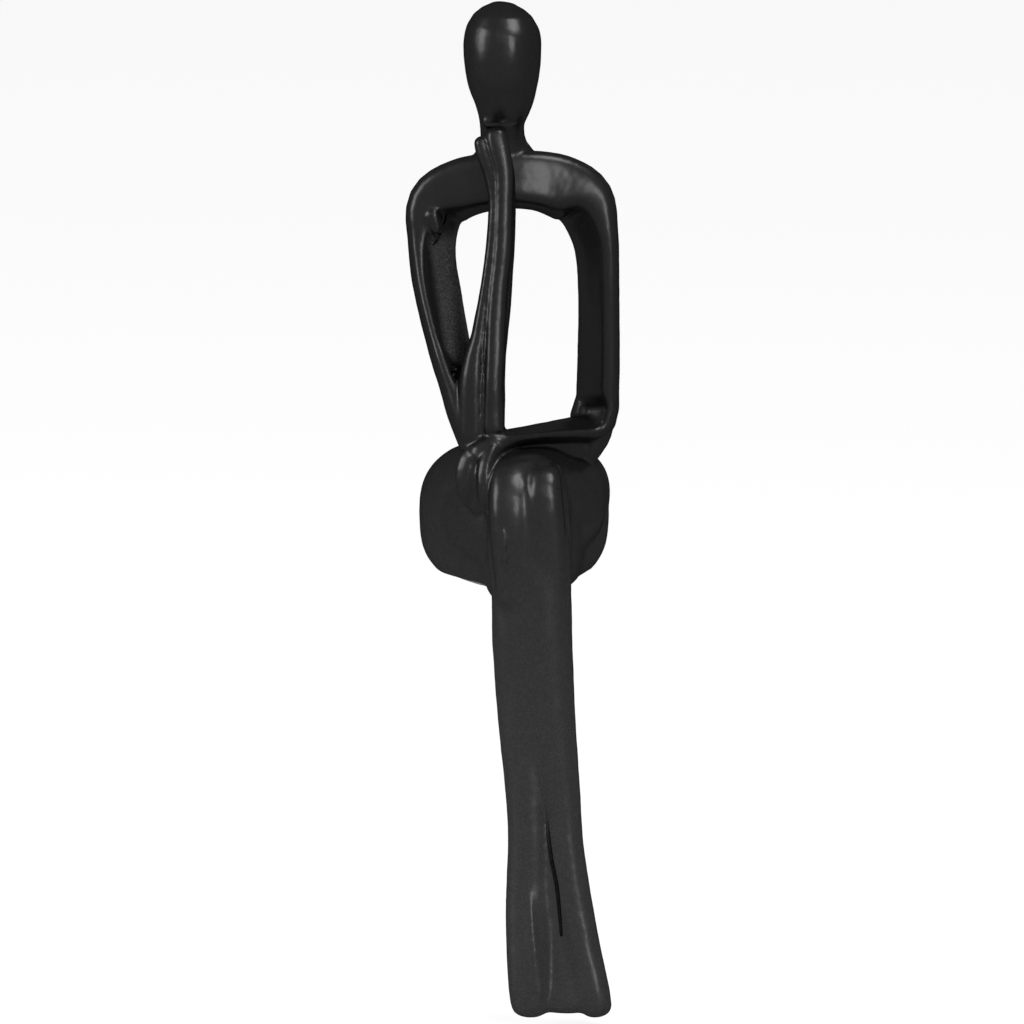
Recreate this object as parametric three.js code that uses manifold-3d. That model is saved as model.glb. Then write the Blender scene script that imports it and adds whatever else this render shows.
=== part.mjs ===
// A shelf sitter: a faceless seated man with crossed legs, cast in resin limb by limb, pinned and glued.
// Millimetres, +Z up. The man faces -Y. The plane Z = 0 is the shelf that he sits on, and the legs hang in
// front of it.
import * as THREE from 'three';
import { LoftGeometry } from 'three/addons/geometries/LoftGeometry.js';
import { mergeVertices } from 'three/addons/utils/BufferGeometryUtils.js';
import Module from 'manifold-3d';

const wasm = await Module();
wasm.setup();

const at = (x, y, z) => new THREE.Vector3(x, y, z);

// Fits
const GLUE = 0.3; // gap of each glued joint
const BORE_CLEARANCE = 0.3; // between a pin or wire and its bore, all round

// Seat
const FELT_THICKNESS = 1;
const FELT_INSET = 2; // from the edge of the casting
const SEAT_FRONT = -27; // the face that the legs are glued to, in line with the shelf's edge
const SEAT_BACK = 26;
const SEAT_HALF_WIDTH = 26.3;
const SEAT_CENTRE_X = 0.6;
const SEAT_TOP = 36;
const SEAT_CUT = 5; // how far the round underside of the hips is cut back to the flat

// Legs
const KNEE_TOP = 39.5;
const KNEE_FRONT = -41.5;
const OVER_KNEE_X = 4.6;
const UNDER_KNEE_X = 1.2;
const UNDER_KNEE_Z = 9;
const ANKLE_DROP = 84; // from the shelf down to the ankles
const TOE_DROP = 117.5;
const FOOT_SPREAD = 23; // from the middle to the outer toe
const SHIN_HALF_DEPTH = 7;

// Shoulders, arms, neck and head
const SHOULDER_TOP = 118.6;
const SHOULDER_HALF_WIDTH = 29.8;
const CHEST_HALF_HEIGHT = 8.8;
const ARM_HALF_WIDTH = 5.8;
const ARM_HALF_DEPTH = 7.4;
const NECK_X = -3.2;
const NECK_HALF_WIDTH = 6.3;
const NECK_JOINT_RISE = 8.4; // from the shoulders up to the joint under the chin
const HEAD_HEIGHT = 34.4;
const HEAD_HALF_WIDTH = 10.7;
const HEAD_HALF_DEPTH = 12.6;

// Forearms
const FOREARM_HALF_WIDTH = 3.8;
const ELBOW_ON_KNEE = at(-8.6, SEAT_FRONT + 1, KNEE_TOP + 3.5); // the foot of the thinking forearm
const ELBOW_RISE = at(-8.6, 12.5, 15); // from there to the joint with the upper arm
const LAP_ELBOW = at(22.6, 1, SEAT_TOP + 6); // the elbow that rests on the hip
const LAP_JOINT_RISE = 8; // from there to the joint with the straight arm

// Metal inside
const DOWEL_RADIUS = 1.5;
const NECK_DOWEL_LENGTH = 20;
const ARM_DOWEL_LENGTH = 16;
const LAP_DOWEL_REACH = 8; // up into the arm
const LAP_DOWEL_DROP = at(-4.2, 0, -20); // from the elbow down into the hip
const FOREARM_WIRE_RADIUS = 1;
const LEG_WIRE_RADIUS = 1.2;
const WIRE_DEPTH_IN_SEAT = 14;
const WIRE_REACH_IN_FOOT = 10; // below the ankle
const BALLAST_RADIUS = 10.5;
const BALLAST_HEIGHT = 19;
const BALLAST_Y = 6;

// Joint faces
const SEAT_MIDDLE_Z = (SEAT_TOP - SEAT_CUT) / 2; // where the hips are widest
const NECK_JOINT = at(NECK_X, -1.2, SHOULDER_TOP + NECK_JOINT_RISE);
const ARM_JOINT = ELBOW_ON_KNEE.clone().add(ELBOW_RISE);
const LAP_JOINT = at(LAP_ELBOW.x, LAP_ELBOW.y, LAP_ELBOW.z + LAP_JOINT_RISE);
const SEAT_FACE = at(SEAT_CENTRE_X, SEAT_FRONT, SEAT_MIDDLE_Z);
const SEAT_BOTTOM = at(SEAT_CENTRE_X, 0, FELT_THICKNESS + GLUE);

// Directions, as seen from in front
const ORIGIN = at(0, 0, 0);
const FRONT = at(0, -1, 0);
const BACK = at(0, 1, 0);
const UP = at(0, 0, 1);
const DOWN = at(0, 0, -1);
const RIGHT = at(1, 0, 0);
const LEFT = at(-1, 0, 0);
const offset = (point, way, distance) => point.clone().addScaledVector(way, distance);

const LIMB_SIDES = 18; // points round a limb
const SEAT_SIDES = 28;
const PIN_SIDES = 16;
const WIRE_SIDES = 8;

function material(color, roughness, metalness) {
  return new THREE.MeshStandardMaterial({ color, roughness, metalness });
}
const blackResin = () => material('#1d1d1e', 0.42, 0);
const steel = () => material('#9a9c9e', 0.35, 1);
const castIron = () => material('#4b4846', 0.7, 0.8);
const felt = () => material('#202022', 0.95, 0);

// One cross-section of a limb: its middle, its half width and half depth, how much narrower its front is
// than its back (wedge), and how far its front leans towards the across side (lean).
function section(x, y, z, width, depth, wedge = 0, lean = 0) {
  return { middle: at(x, y, z), width, depth, wedge, lean };
}
const sectionAt = (point, ...size) => section(point.x, point.y, point.z, ...size);

// Cross-sections at even steps on a smooth curve through the given ones.
function smoothSections(sections, steps) {
  const middles = new THREE.CatmullRomCurve3(sections.map((s) => s.middle));
  const sizes = new THREE.CatmullRomCurve3(sections.map((s) => at(s.width, s.depth, s.wedge)));
  const leans = new THREE.CatmullRomCurve3(sections.map((s, i) => at(s.lean, i, 0)));
  return Array.from({ length: steps + 1 }, (_, i) => {
    const size = sizes.getPoint(i / steps);
    const middle = middles.getPoint(i / steps);
    const tangent = middles.getTangent(i / steps);
    const lean = leans.getPoint(i / steps).x;
    return { middle, tangent, width: size.x, depth: size.y, wedge: size.z, lean };
  });
}

// The outline of a cross-section, a superellipse: power 2 is an ellipse, and more is squarer.
function ringPoints({ middle, tangent, width, depth, wedge, lean }, facing, sides, power) {
  const deep = facing.clone().addScaledVector(tangent, -facing.dot(tangent)).normalize();
  const across = deep.clone().cross(tangent);
  const squared = (value) => Math.sign(value) * Math.abs(value) ** (2 / power);
  return Array.from({ length: sides }, (_, i) => {
    const angle = (i / sides) * 2 * Math.PI;
    const forward = squared(Math.sin(angle));
    const sideways = squared(Math.cos(angle)) * width * (1 - wedge * forward) + lean * forward;
    return middle.clone().addScaledVector(across, sideways).addScaledVector(deep, forward * depth);
  });
}

function solidFrom(geometry) {
  const bare = new THREE.BufferGeometry();
  bare.setAttribute('position', geometry.attributes.position);
  bare.setIndex(geometry.index);
  const merged = mergeVertices(bare, 1e-4);
  const vertProperties = merged.attributes.position.array;
  return new wasm.Manifold(new wasm.Mesh({ numProp: 3, vertProperties, triVerts: merged.index.array }));
}

// A limb lofted through its sections, which face the given way.
// grow makes it larger all round, which gives a neighbour its glue gap.
// A round end carries on past its last section as a dome of that length.
function limb(sections, shape, grow = 0) {
  const { facing = FRONT, steps = 20, power = 2, sides = LIMB_SIDES, startDome = 0, endDome = 0 } = shape;
  const rings = smoothSections(sections, steps)
    .map((s) => ({ ...s, width: s.width + grow, depth: s.depth + grow }));
  const dome = (from, length, way) => [0.35, 0.65, 0.87, 0.98].map((rise) => {
    const shrink = Math.sqrt(1 - rise * rise);
    return {
      ...from,
      middle: offset(from.middle, from.tangent, way * (length + grow) * rise),
      width: from.width * shrink,
      depth: from.depth * shrink,
      lean: from.lean * shrink,
    };
  });
  const first = rings[0];
  const last = rings[rings.length - 1];
  if (startDome) rings.unshift(...dome(first, startDome, -1).reverse());
  else first.middle.addScaledVector(first.tangent, -grow);
  if (endDome) rings.push(...dome(last, endDome, 1));
  else last.middle.addScaledVector(last.tangent, grow);
  const outlines = rings.map((r) => ringPoints(r, facing, sides, power));
  return solidFrom(new LoftGeometry(outlines, { closed: true, capStart: true, capEnd: true }));
}

// Everything on the far side of a plane, as a block too big to end inside the figure.
function beyond(point, normal) {
  const size = 600;
  const block = new THREE.BoxGeometry(size, size, size).translate(0, 0, size / 2);
  const turn = new THREE.Quaternion().setFromUnitVectors(UP, normal.clone().normalize());
  return solidFrom(block.applyQuaternion(turn).translate(point.x, point.y, point.z));
}

// A straight pin with chamfered ends, from one point to another.
function pin(from, to, radius, grow = 0) {
  const length = from.distanceTo(to) + 2 * grow;
  const r = radius + grow;
  const chamfer = 0.4;
  const profile = [
    [0, 0], [r - chamfer, 0], [r, chamfer], [r, length - chamfer], [r - chamfer, length], [0, length],
  ];
  const geometry = new THREE.LatheGeometry(profile.map(([x, y]) => new THREE.Vector2(x, y)), PIN_SIDES);
  const way = to.clone().sub(from).normalize();
  const start = offset(from, way, -grow);
  geometry.applyQuaternion(new THREE.Quaternion().setFromUnitVectors(at(0, 1, 0), way));
  return solidFrom(geometry.translate(start.x, start.y, start.z));
}

// A bent round wire through the given points.
function wire(points, radius, grow = 0) {
  const nearlyRight = at(1, 0.02, 0.03); // never in line with the wire
  const sections = points.map((point) => sectionAt(point, radius, radius));
  return limb(sections, { facing: nearlyRight, steps: 18, sides: WIRE_SIDES }, grow);
}

function without(solid, ...cutters) {
  return cutters.reduce((rest, cutter) => rest.subtract(cutter), solid);
}

// Head: an egg that narrows to the neck, a little deeper than wide.
function headForm(grow) {
  const z = (drop) => NECK_JOINT.z + HEAD_HEIGHT - drop;
  const w = HEAD_HALF_WIDTH;
  const d = HEAD_HALF_DEPTH;
  return limb([
    section(NECK_X, -1.2, NECK_JOINT.z - 4, NECK_HALF_WIDTH - 0.1, NECK_HALF_WIDTH),
    section(NECK_X, -2, NECK_JOINT.z + 1.4, NECK_HALF_WIDTH + 0.3, NECK_HALF_WIDTH + 1.2),
    section(NECK_X + 0.2, -3, z(26.5), w - 1.9, d - 3),
    section(NECK_X, -3.2, z(19.5), w - 0.6, d - 0.6),
    section(NECK_X, -3, z(13), w, d),
    section(NECK_X, -2.8, z(7), w - 1.3, d - 1.5),
    section(NECK_X, -2.7, z(3.4), w - 3.5, d - 4.1),
    section(NECK_X, -2.6, z(1.2), w - 6.2, d - 7.4),
    section(NECK_X, -2.6, z(0.1), w - 9.2, d - 10.9),
  ], { power: 2.1 }, grow);
}

// Neck: rises out of the shoulders to the joint under the chin.
function neckForm(grow) {
  return limb([
    section(NECK_X, 0, SHOULDER_TOP - 9, NECK_HALF_WIDTH + 5, 6),
    section(NECK_X, 0, SHOULDER_TOP - 3, NECK_HALF_WIDTH + 4, 6.4),
    section(NECK_X, -0.5, SHOULDER_TOP + 1, NECK_HALF_WIDTH + 1.4, 6.5),
    section(NECK_X, -0.8, SHOULDER_TOP + 4.5, NECK_HALF_WIDTH, NECK_HALF_WIDTH),
    section(NECK_X, -1.2, NECK_JOINT.z + 3, NECK_HALF_WIDTH - 0.1, NECK_HALF_WIDTH),
  ], { steps: 12 }, grow);
}

// Shoulder frame: one deep band, up the leaning arm, across the chest and down the straight arm. Its back is
// wider than its front, so the inner walls of both openings can be seen from in front.
const ARM_X = SHOULDER_HALF_WIDTH - ARM_HALF_WIDTH * 1.06;
const CHEST_Z = SHOULDER_TOP - CHEST_HALF_HEIGHT;
const LEANING_ARM_TOP = at(-ARM_X, -1, SHOULDER_TOP - 26);
const ARM_WAY = LEANING_ARM_TOP.clone().sub(ARM_JOINT).normalize();
function armBandForm(grow) {
  const w = ARM_HALF_WIDTH;
  const d = ARM_HALF_DEPTH;
  const leaning = (share) => ARM_JOINT.clone().lerp(LEANING_ARM_TOP, share);
  return limb([
    sectionAt(leaning(-0.3), w - 1.6, d - 2, 0.2),
    sectionAt(ARM_JOINT, w - 0.9, d - 1.2, 0.25),
    sectionAt(leaning(0.5), w + 0.1, d - 0.4, 0.3, 1),
    sectionAt(LEANING_ARM_TOP, w + 0.3, d, 0.3, 1.4),
    section(-ARM_X + 1.6, 0, CHEST_Z - 6, w + 2, d, 0.3, 1.6),
    section(-14, 0, CHEST_Z - 0.6, CHEST_HALF_HEIGHT - 0.4, d, 0.3, 2.4),
    section(NECK_X, 0, CHEST_Z + 1, CHEST_HALF_HEIGHT - 0.4, d - 0.2, 0.2, 1.6),
    section(12.4, 0, CHEST_Z - 0.2, CHEST_HALF_HEIGHT, d, 0.3, 2.4),
    section(ARM_X - 3.2, 0, CHEST_Z - 6.4, w + 2.4, d, 0.3, 1.8),
    section(ARM_X - 0.8, 0.5, SHOULDER_TOP - 25, w + 0.1, d, 0.28, 1.8),
    section(ARM_X + 0.2, 1, SHOULDER_TOP - 48, w - 0.2, d, 0.28, 1.8),
    section(LAP_JOINT.x + 0.8, LAP_JOINT.y, LAP_JOINT.z, w - 0.2, d - 0.3, 0.28, 1.6),
    section(LAP_JOINT.x + 0.6, LAP_JOINT.y, LAP_JOINT.z - 10, w - 0.2, d - 0.6, 0.28, 1.4),
  ], { steps: 42, power: 2.3 }, grow);
}
function shoulderFrame(grow) {
  return without(
    armBandForm(grow).add(neckForm(grow)),
    beyond(offset(NECK_JOINT, UP, grow), UP),
    beyond(offset(ARM_JOINT, ARM_WAY, -grow), ARM_WAY.clone().negate()).intersect(beyond(ORIGIN, LEFT)),
    beyond(offset(LAP_JOINT, UP, GLUE - grow), DOWN).intersect(beyond(ORIGIN, RIGHT)));
}

// Thinking forearm: rises from the elbow on the knee to the fist at the chin, and bulges to the right on the
// way.
const FIST = offset(NECK_JOINT, at(-3.1, -11.4, -0.5), 1);
function strandSection(share, bulgeX, bulgeY, width, depth) {
  const middle = ELBOW_ON_KNEE.clone().lerp(FIST, share);
  return section(middle.x + bulgeX, middle.y + bulgeY, middle.z, width, depth);
}
const THINKING_STRAND = [
  strandSection(0, 0.6, 0, FOREARM_HALF_WIDTH + 1.2, 5),
  strandSection(0.1, 0.2, -0.7, FOREARM_HALF_WIDTH + 1.6, 5.2),
  strandSection(0.26, 0.9, -0.9, FOREARM_HALF_WIDTH + 1.2, 5),
  strandSection(0.43, 2.2, -0.8, FOREARM_HALF_WIDTH + 0.6, 4.6),
  strandSection(0.6, 3.4, -0.6, FOREARM_HALF_WIDTH, 4.4),
  strandSection(0.74, 3.7, -0.6, FOREARM_HALF_WIDTH, 4.2),
  strandSection(0.85, 2.9, -0.2, FOREARM_HALF_WIDTH + 0.3, 4.2),
  strandSection(0.935, 1.2, 0.1, FOREARM_HALF_WIDTH + 0.6, 4.2),
  strandSection(1, 0, 0, FOREARM_HALF_WIDTH + 0.3, 4),
];
function thinkingForearmForm(grow) {
  const foot = ELBOW_ON_KNEE;
  const strand = limb(THINKING_STRAND, { steps: 22, startDome: 1.2, endDome: 3.6, power: 2.2 }, grow);
  const elbow = limb([
    section(foot.x - 3, foot.y + 2, foot.z + 0.5, 4.6, 4.2),
    section(foot.x - 5.6, foot.y + 6, foot.z + 6.5, 4.9, 4.6, 0.1),
    sectionAt(ARM_JOINT, ARM_HALF_WIDTH - 0.9, ARM_HALF_DEPTH - 1.2, 0.25),
    sectionAt(offset(ARM_JOINT, ARM_WAY, 4), ARM_HALF_WIDTH - 0.7, ARM_HALF_DEPTH - 1, 0.28),
  ], { steps: 10, startDome: 1.5, power: 2.2 }, grow);
  return strand.add(elbow);
}

// Lap forearm: the elbow on the hip, the forearm along the lap and the hand that hangs over the knee.
function lapForearmForm(grow) {
  const elbow = LAP_ELBOW;
  const stub = limb([
    section(elbow.x + 0.8, elbow.y, LAP_JOINT.z + 4, ARM_HALF_WIDTH - 0.2, ARM_HALF_DEPTH - 0.3, 0.28, 1.6),
    section(elbow.x + 0.4, elbow.y, elbow.z + 2, ARM_HALF_WIDTH - 0.2, ARM_HALF_DEPTH - 0.8, 0.28, 1.2),
    section(elbow.x - 1.8, elbow.y, elbow.z - 4, ARM_HALF_WIDTH - 0.4, ARM_HALF_DEPTH - 1.4, 0.2, 0.8),
    section(elbow.x - 4.6, elbow.y, elbow.z - 10, ARM_HALF_WIDTH - 1, ARM_HALF_DEPTH - 2, 0.1, 0.4),
  ], { steps: 9, endDome: 1.5, power: 2.3 }, grow);
  const hand = ELBOW_ON_KNEE;
  const strand = limb([
    section(elbow.x - 0.4, elbow.y + 0.4, elbow.z - 0.4, 5.4, 4.4),
    section(elbow.x - 5.5, elbow.y - 6, elbow.z - 0.4, 5, 3.6),
    section(elbow.x - 14, elbow.y - 16, elbow.z - 0.2, 4.8, 3.2),
    section(hand.x + 6.5, hand.y + 0.8, hand.z - 2.8, 5.4, 3.2),
    section(hand.x + 0.6, hand.y - 0.6, hand.z - 4, 5.8, 3.2),
    section(hand.x - 3.4, hand.y, hand.z - 7, 5.6, 3),
    section(hand.x - 4.4, hand.y + 1, hand.z - 12, 5, 2.4),
  ], { facing: at(-1, -0.3, 1), steps: 18, startDome: 2, endDome: 2.4, power: 2.2 }, grow);
  return stub.add(strand);
}

// Seat block: hips and both thighs, wide at the back and narrow at the knees.
function seatForm(grow) {
  const w = SEAT_HALF_WIDTH;
  const z = SEAT_MIDDLE_Z;
  const rise = SEAT_TOP - z; // and as far down, to below the shelf
  const x = SEAT_CENTRE_X;
  return limb([
    section(x, SEAT_BACK - 4, z, w - 8.4, rise - 6.4),
    section(x, SEAT_BACK - 10, z, w - 2.8, rise - 2.4),
    section(x, SEAT_BACK - 20, z, w, rise),
    section(x + 1, SEAT_BACK - 32, z, w - 4.6, rise + 0.8),
    section(x + 2, SEAT_BACK - 42, z + 0.6, w - 8.8, rise + 1.8),
    section(x + 3, SEAT_FRONT - 4, z + 1.2, w - 13.6, rise + 1.8),
  ], { facing: UP, steps: 16, startDome: 5, power: 3.2, sides: SEAT_SIDES }, grow);
}

// Over leg: the knee in front and the shin that ends in the outer foot.
const shinZ = (share) => -ANKLE_DROP * share;
const OVER_SHIN = [
  section(OVER_KNEE_X + 0.2, KNEE_FRONT + 4.6, KNEE_TOP - 12.5, 9.4, SHIN_HALF_DEPTH - 2),
  section(OVER_KNEE_X, KNEE_FRONT + 4, 12, 10.6, SHIN_HALF_DEPTH - 1.8),
  section(6, -38, -6, 10, SHIN_HALF_DEPTH - 1.6),
  section(9, -38.6, shinZ(0.33), 8, SHIN_HALF_DEPTH - 1.2),
  section(13, -40, shinZ(0.68), 5.3, SHIN_HALF_DEPTH - 0.8),
  section(FOOT_SPREAD - 6.2, -43.4, shinZ(1), 4.9, SHIN_HALF_DEPTH - 0.6),
  section(FOOT_SPREAD - 2.8, -45.8, shinZ(1) - 14, 4.9, SHIN_HALF_DEPTH - 0.8),
  section(FOOT_SPREAD - 0.4, -48, -TOE_DROP + 7, 4.2, SHIN_HALF_DEPTH - 2),
];
function overLegForm(grow) {
  const knee = limb([
    section(OVER_KNEE_X, SEAT_FRONT + 6, KNEE_TOP - 10.8, 10.2, 10.8),
    section(OVER_KNEE_X, SEAT_FRONT - 6, KNEE_TOP - 11, 10, 10.6),
    section(OVER_KNEE_X, KNEE_FRONT + 3.4, KNEE_TOP - 12, 8.8, 8.6),
  ], { facing: UP, steps: 8, endDome: 3.4, power: 2.2 }, grow);
  return knee.add(limb(OVER_SHIN, { steps: 18, startDome: 4, endDome: 6, power: 2.2 }, grow));
}

// Under leg: comes out from behind the over leg and ends in the inner foot, with the web that joins the
// feet.
const UNDER_SHIN = [
  section(UNDER_KNEE_X - 0.6, -32.6, UNDER_KNEE_Z - 3, 7, SHIN_HALF_DEPTH - 1.8),
  section(UNDER_KNEE_X - 0.4, -33, -8, 7.2, SHIN_HALF_DEPTH - 1.6),
  section(1.8, -34.6, shinZ(0.33), 6.6, SHIN_HALF_DEPTH - 1),
  section(3.8, -38.2, shinZ(0.68), 6, SHIN_HALF_DEPTH - 0.4),
  section(4.6, -43, shinZ(1), 7, SHIN_HALF_DEPTH - 0.6),
  section(4.8, -45.6, shinZ(1) - 14, 6.8, SHIN_HALF_DEPTH - 0.8),
  section(5, -48, -TOE_DROP + 7.6, 5.6, SHIN_HALF_DEPTH - 2),
];
function underLegForm(grow) {
  const knee = limb([
    section(UNDER_KNEE_X, SEAT_FRONT + 6, UNDER_KNEE_Z, 7.8, 9),
    section(UNDER_KNEE_X - 0.2, SEAT_FRONT - 3, UNDER_KNEE_Z, 7.6, 8.8),
    section(UNDER_KNEE_X - 0.4, SEAT_FRONT - 7, UNDER_KNEE_Z - 1, 6.4, 7),
  ], { facing: UP, steps: 8, endDome: 2, power: 2.2 }, grow);
  const shin = limb(UNDER_SHIN, { steps: 18, startDome: 3, endDome: 6, power: 2.2 }, grow);
  const web = limb([
    section(9, -43.4, shinZ(1), 4, 3),
    section(12.4, -46.4, shinZ(1) - 18, 8, 2.8),
    section(13.4, -48.2, -TOE_DROP + 5, 9, 2.2),
  ], { steps: 8, endDome: 1.6, power: 2.6 }, grow);
  return knee.add(shin).add(web);
}

// Metal inside, each as a function of its clearance: none for the piece itself, the clearance for its bore
function dowelThrough(joint, way, length, grow) {
  return pin(offset(joint, way, -length / 2), offset(joint, way, length / 2), DOWEL_RADIUS, grow);
}
const neckDowel = (grow) => dowelThrough(NECK_JOINT, UP, NECK_DOWEL_LENGTH, grow);
const armDowel = (grow) => dowelThrough(ARM_JOINT, ARM_WAY, ARM_DOWEL_LENGTH, grow);
function lapDowel(grow) {
  const foot = LAP_ELBOW.clone().add(LAP_DOWEL_DROP);
  const way = LAP_JOINT.clone().sub(foot).normalize();
  return pin(foot, offset(LAP_JOINT, way, LAP_DOWEL_REACH), DOWEL_RADIUS, grow);
}
function forearmWire(grow) {
  const inTheLap = ELBOW_ON_KNEE.clone().add(at(3.4, 3.4, -12));
  return wire([inTheLap, ...THINKING_STRAND.slice(0, 7).map((s) => s.middle)], FOREARM_WIRE_RADIUS, grow);
}

// A leg's wire runs level out of the seat block, bends down at the knee and follows the shin into the foot.
function legWire(kneeX, kneeZ, alongShin, grow) {
  const toe = offset(alongShin.at(-1), DOWN, WIRE_REACH_IN_FOOT);
  return wire([
    at(kneeX, SEAT_FRONT + WIRE_DEPTH_IN_SEAT, kneeZ),
    at(kneeX, SEAT_FRONT, kneeZ),
    ...alongShin,
    offset(toe, FRONT, 1.8),
  ], LEG_WIRE_RADIUS, grow);
}
function overLegWire(grow) {
  const kneeX = OVER_KNEE_X + 1.4;
  const bend = at(kneeX, -34, KNEE_TOP - 14.5);
  const alongShin = [1, 3, 4, 5].map((i) => OVER_SHIN[i].middle);
  return legWire(kneeX, KNEE_TOP - 11.5, [bend, ...alongShin], grow);
}
function underLegWire(grow) {
  const kneeX = UNDER_KNEE_X - 0.2;
  const bend = at(kneeX - 0.4, -30, UNDER_KNEE_Z - 7);
  const clearOfOverLeg = [at(-1.4, 2.4, 0), at(-3.2, 1.2, 0), at(0, 0, 0), at(0, 0, 0)];
  const alongShin = clearOfOverLeg.map((aside, i) => UNDER_SHIN[i + 1].middle.clone().add(aside));
  return legWire(kneeX, UNDER_KNEE_Z, [bend, ...alongShin], grow);
}
function ballast(grow) {
  const foot = at(SEAT_CENTRE_X, BALLAST_Y, SEAT_BOTTOM.z);
  return pin(foot, offset(foot, UP, BALLAST_HEIGHT), BALLAST_RADIUS, grow);
}

// Each casting gives way by the glue gap to the ones that were glued on before it.
const solids = {
  head: without(headForm(0), beyond(offset(NECK_JOINT, UP, GLUE), DOWN), neckDowel(BORE_CLEARANCE)),
  shoulder_frame: without(
    shoulderFrame(0), neckDowel(BORE_CLEARANCE), armDowel(BORE_CLEARANCE), lapDowel(BORE_CLEARANCE)),
  thinking_forearm: without(
    thinkingForearmForm(0), shoulderFrame(GLUE), headForm(GLUE),
    armDowel(BORE_CLEARANCE), forearmWire(BORE_CLEARANCE)),
  over_leg: without(
    overLegForm(0), beyond(offset(SEAT_FACE, FRONT, GLUE), BACK),
    forearmWire(BORE_CLEARANCE), overLegWire(BORE_CLEARANCE)),
  seat_block: without(
    seatForm(0), beyond(SEAT_FACE, FRONT), beyond(SEAT_BOTTOM, DOWN),
    overLegWire(BORE_CLEARANCE), underLegWire(BORE_CLEARANCE), forearmWire(BORE_CLEARANCE),
    lapDowel(BORE_CLEARANCE), ballast(BORE_CLEARANCE)),
  under_leg: without(
    underLegForm(0), beyond(offset(SEAT_FACE, FRONT, GLUE), BACK), overLegForm(GLUE),
    underLegWire(BORE_CLEARANCE)),
  lap_forearm: without(
    lapForearmForm(0), beyond(LAP_JOINT, UP), thinkingForearmForm(GLUE), seatForm(GLUE), overLegForm(GLUE),
    lapDowel(BORE_CLEARANCE), forearmWire(BORE_CLEARANCE)),
  neck_dowel: neckDowel(0),
  arm_dowel: armDowel(0),
  lap_elbow_dowel: lapDowel(0),
  forearm_wire: forearmWire(0),
  over_leg_wire: overLegWire(0),
  under_leg_wire: underLegWire(0),
  ballast_slug: ballast(0),
  seat_felt: without(
    seatForm(-FELT_INSET), beyond(offset(ORIGIN, UP, FELT_THICKNESS), UP), beyond(ORIGIN, DOWN),
    beyond(offset(SEAT_FACE, BACK, FELT_INSET), FRONT)),
};

const finishes = {
  neck_dowel: steel,
  arm_dowel: steel,
  lap_elbow_dowel: steel,
  forearm_wire: steel,
  over_leg_wire: steel,
  under_leg_wire: steel,
  ballast_slug: castIron,
  seat_felt: felt,
};

const figurine = new THREE.Group();
for (const [name, solid] of Object.entries(solids)) {
  const { vertProperties, triVerts } = solid.getMesh();
  const geometry = new THREE.BufferGeometry();
  geometry.setAttribute('position', new THREE.BufferAttribute(vertProperties, 3));
  geometry.setIndex(new THREE.BufferAttribute(triVerts, 1));
  geometry.computeVertexNormals();
  const finish = finishes[name] ?? blackResin;
  const mesh = new THREE.Mesh(geometry, finish());
  mesh.name = name;
  figurine.add(mesh);
}

export default figurine;
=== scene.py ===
"""The looks of a seated man figurine in satin black resin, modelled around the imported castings."""

import math

import bmesh
import bpy
from mathutils import Euler, Matrix, Vector


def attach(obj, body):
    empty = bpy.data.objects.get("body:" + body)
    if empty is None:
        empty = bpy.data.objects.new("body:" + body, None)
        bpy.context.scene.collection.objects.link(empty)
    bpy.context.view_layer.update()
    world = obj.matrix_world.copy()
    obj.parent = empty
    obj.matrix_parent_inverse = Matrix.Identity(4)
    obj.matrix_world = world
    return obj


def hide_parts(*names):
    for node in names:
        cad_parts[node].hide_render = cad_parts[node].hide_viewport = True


MM = 0.001
FRONT = Vector((0, -1, 0))
UP = Vector((0, 0, 1))
UP_FRONT = Vector((0, -1, 0.28))
LEFT_FRONT = Vector((-0.27, -1, 0))
RIGHT_FRONT = Vector((0.18, -1, 0))
OVER_THIGH = Vector((-0.6, -1, 0.5))

RING_SIDES = 40
ROUND_POWER = 2.15  # of a ring's outline, where 2 is an ellipse
DRAW_START = 0.35
SKIN = 0.15  # mm added all round, which softening takes off again
RING_STEP = 2.2  # mm between the cross rings of a limb
DOME_SHARES = (0.35, 0.62, 0.83, 0.96)  # of an end's depth, where its rounding has rings
DOME_DEPTH = 0.85  # of an end's smaller half size
FINE_VOXEL = 0.45 * MM
HIP_VOXEL = 0.5 * MM
BLOCK_VOXEL = 0.9 * MM
FLAW_VOXEL = 0.25 * MM
GROOVE_VOXEL = 0.2 * MM
FIGURE_ROUNDS = 9  # of softening
HIP_ROUNDS = 24
HAND_WAVES = 0.32 * MM  # how high the surface's patterns stand
CAST_RIPPLES = 0.06 * MM
TORN_EDGES = 1.6 * MM
SMOOTH_ANGLE = math.radians(50)
REACH = 400 * MM  # edge of the blocks that part the castings

SEAT_FRONT = -27  # the face that the legs are glued to
SEAT_BOTTOM = 1.3
FELT_TOP = 1.0
NECK_JOINT = 127
LAP_JOINT = 50
ARM_JOINT = Vector((-17.2, -13.5, 58))
ARM_DIRECTION = Vector((-6.45, 12.5, 34.6)).normalized()
WINDOW_CENTRE = Vector((2, 0, 72))


# Work on objects


def deselect():
    bpy.ops.object.select_all(action="DESELECT")


def activate(piece):
    deselect()
    piece.select_set(True)
    bpy.context.view_layer.objects.active = piece


def start_mesh(name):
    """An object with an empty mesh, open for modelling."""
    piece = bpy.data.objects.new(name, bpy.data.meshes.new(name))
    bpy.context.collection.objects.link(piece)
    activate(piece)
    bpy.ops.object.mode_set(mode="EDIT")
    bpy.ops.mesh.select_mode(type="VERT")
    return piece


def join(name, pieces):
    activate(pieces[0])
    for piece in pieces:
        piece.select_set(True)
    if len(pieces) > 1:
        bpy.ops.object.join()
    made = bpy.context.view_layer.objects.active
    made.name = made.data.name = name
    return made


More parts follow.
